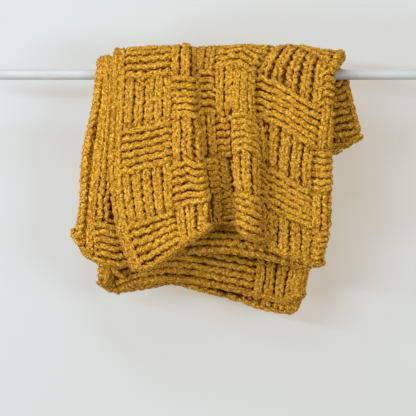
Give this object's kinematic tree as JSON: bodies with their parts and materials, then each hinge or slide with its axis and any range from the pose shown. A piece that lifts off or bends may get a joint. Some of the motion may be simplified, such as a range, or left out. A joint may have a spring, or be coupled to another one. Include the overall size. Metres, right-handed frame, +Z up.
{
  "type": "chunky knit blanket on a rail",
  "caption": "Thick hand-knit throw in blocks of upright and level ribs, folded lengthwise and hung over a plain round wall rail.",
  "frame": {"origin": "on the rail's axis, at the middle of its length", "axes": "+X along the rail to the viewer's right, +Y away from the viewer towards the wall, +Z up"},
  "size_m": [0.7, 0.1331, 0.3891],
  "materials": {
    "yarn": "fuzzy mustard chenille yarn, matt",
    "rail": "satin white paint"
  },
  "bodies": {
    "root": {"blanket": "yarn", "rail": "rail"}
  },
  "joints": []
}
